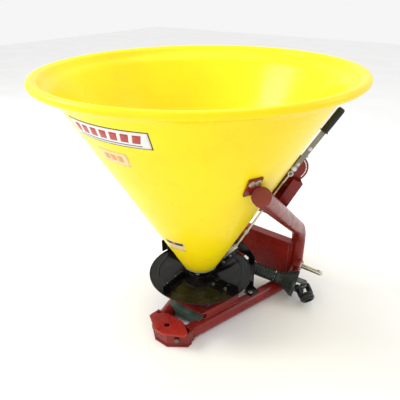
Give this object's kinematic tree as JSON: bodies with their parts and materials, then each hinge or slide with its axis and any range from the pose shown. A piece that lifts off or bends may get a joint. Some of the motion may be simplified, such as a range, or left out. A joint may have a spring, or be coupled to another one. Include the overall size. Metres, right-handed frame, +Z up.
{
  "type": "broadcast spreader",
  "caption": "Three-point-hitch broadcast spreader: cone hopper on a bent-pipe frame, spinner disc with vanes, gate lever and folded driveline.",
  "frame": {"origin": "on the ground, under the hopper's vertical axis", "axes": "+Z up, +Y forwards to the tractor, +X to the machine's right, along the right hitch pin"},
  "size_m": [1.0798, 1.08, 1.0204],
  "materials": {
    "yellow_poly": "glossy",
    "red_paint": "gloss powder coat",
    "bright_red_paint": "gloss powder coat",
    "end_cap_paint": "satin",
    "black_paint": "gloss",
    "green_grey_paint": "satin",
    "grey_paint": "satin",
    "zinc_steel": "zinc plated",
    "dark_steel": "satin",
    "bright_steel": "machined",
    "gear_steel": "oiled",
    "cast_housing": "painted casting",
    "yoke_steel": "satin",
    "seal_rubber": "matt",
    "black_grip": "textured",
    "shield_plastic": "moulded, slightly glossy"
  },
  "bodies": {
    "frame": {"hopper": "yellow_poly", "hopper_base_plate": "zinc_steel", "hopper_base_bolts": "zinc_steel", "gate_guides": "black_paint", "right_frame_tube": "red_paint", "left_frame_tube": "red_paint", "tube_end_caps": "end_cap_paint", "hopper_mount_plates": "red_paint", "hopper_mount_bolts": "zinc_steel", "cross_plate": "red_paint", "top_link_bar": "red_paint", "top_link_ears": "red_paint", "right_hitch_pin": "zinc_steel", "left_hitch_pin": "zinc_steel", "hitch_pin_gussets": "red_paint", "drawbar_top_plate": "bright_red_paint", "drawbar_web": "red_paint", "drawbar_bottom_plate": "red_paint", "drawbar_bolts": "dark_steel", "rear_cross_bar": "green_grey_paint", "gearbox_support": "red_paint", "gearbox_bolts": "zinc_steel", "gearbox_housing": "cast_housing", "gearbox_cover": "cast_housing", "bearings": "bright_steel", "shaft_seals": "seal_rubber", "front_guard": "black_paint", "guard_bolts": "zinc_steel", "lever_post": "red_paint", "quadrant_plate": "red_paint", "lever_pivot_bolt": "zinc_steel"},
    "spinner": {"output_shaft": "bright_steel", "crown_gear": "gear_steel", "spinner_disc": "black_paint", "spinner_hub": "black_paint", "vane_1": "black_paint", "vane_2": "black_paint", "vane_3": "black_paint", "vane_4": "black_paint", "spinner_bolts": "zinc_steel", "agitator": "bright_steel"},
    "input": {"input_shaft": "bright_steel", "pinion": "gear_steel"},
    "lever": {"lever_bar": "grey_paint", "lever_grip": "black_grip", "lever_bolts": "zinc_steel"},
    "stop": {"travel_stop": "zinc_steel"},
    "gate": {"gate": "zinc_steel"},
    "rod": {"control_rod": "zinc_steel"},
    "near_yoke": {"near_yoke": "yoke_steel"},
    "near_cross": {"near_cross": "bright_steel"},
    "outer_shaft": {"outer_drive_tube": "yoke_steel", "outer_shield": "shield_plastic"},
    "inner_shaft": {"inner_drive_tube": "bright_steel", "shield_bell": "shield_plastic"},
    "far_cross": {"far_cross": "bright_steel"},
    "end_yoke": {"end_yoke": "yoke_steel"},
    "collar": {"lock_collar": "shield_plastic"}
  },
  "joints": [
    {"name": "spinner_spin", "type": "hinge", "parent": "frame", "child": "spinner", "pos_m": [0, 0, 0.2], "axis": [0, 0, 1], "continuous": true},
    {"name": "input_spin", "type": "hinge", "parent": "frame", "child": "input", "pos_m": [0, 0.1, 0.128], "axis": [0, 1, 0], "continuous": true},
    {"name": "lever_swing", "type": "hinge", "parent": "frame", "child": "lever", "pos_m": [0.26273, 0.21581, 0.664], "axis": [-0.6347, 0.7727, 0], "range_deg": [0, 70]},
    {"name": "stop_swing", "type": "hinge", "parent": "frame", "child": "stop", "pos_m": [0.26273, 0.21581, 0.664], "axis": [-0.6347, 0.7727, 0], "range_deg": [0, 50]},
    {"name": "gate_slide", "type": "slide", "parent": "frame", "child": "gate", "axis": [0.3752, 0.3082, 0.8742], "range_m": [0, 0.0171]},
    {"name": "rod_swing", "type": "hinge", "parent": "gate", "child": "rod", "pos_m": [0.10973, 0.09013, 0.322], "axis": [0.6347, -0.7727, 0], "range_deg": [0, 2.53]},
    {"name": "driveline_roll", "type": "hinge", "parent": "frame", "child": "near_yoke", "pos_m": [0, 0.24, 0.128], "axis": [0, -1, 0], "range_deg": [0, 18]},
    {"name": "near_fold", "type": "hinge", "parent": "near_yoke", "child": "near_cross", "pos_m": [0, 0.24, 0.128], "axis": [0, 0, 1], "range_deg": [-5, 0]},
    {"name": "near_pitch", "type": "hinge", "parent": "near_cross", "child": "outer_shaft", "pos_m": [0, 0.24, 0.128], "axis": [0.2943, -0.9557, 0], "range_deg": [0, 6]},
    {"name": "telescope", "type": "slide", "parent": "outer_shaft", "child": "inner_shaft", "axis": [0.9389, 0.2891, -0.1865], "range_m": [0, 0.06]},
    {"name": "far_fold", "type": "hinge", "parent": "inner_shaft", "child": "far_cross", "pos_m": [0.30234, 0.3331, 0.06793], "axis": [0.1783, 0.0549, 0.9824], "range_deg": [-10, 10]},
    {"name": "end_pitch", "type": "hinge", "parent": "far_cross", "child": "end_yoke", "pos_m": [0.30234, 0.3331, 0.06793], "axis": [0.4872, 0.8625, -0.1366], "range_deg": [-8, 10]},
    {"name": "collar_slide", "type": "slide", "parent": "end_yoke", "child": "collar", "axis": [-0.7337, 0.4891, 0.4717], "range_m": [0, 0.003], "stiffness_N_per_m": 800, "springref_m": -0.001}
  ],
  "couplings": [
    {"joint": "input_spin", "follows": "spinner_spin", "ratio": -1},
    {"joint": "gate_slide", "follows": "lever_swing", "m_per_rad": 0.013498},
    {"joint": "rod_swing", "follows": "lever_swing", "ratio": 0.034761}
  ]
}
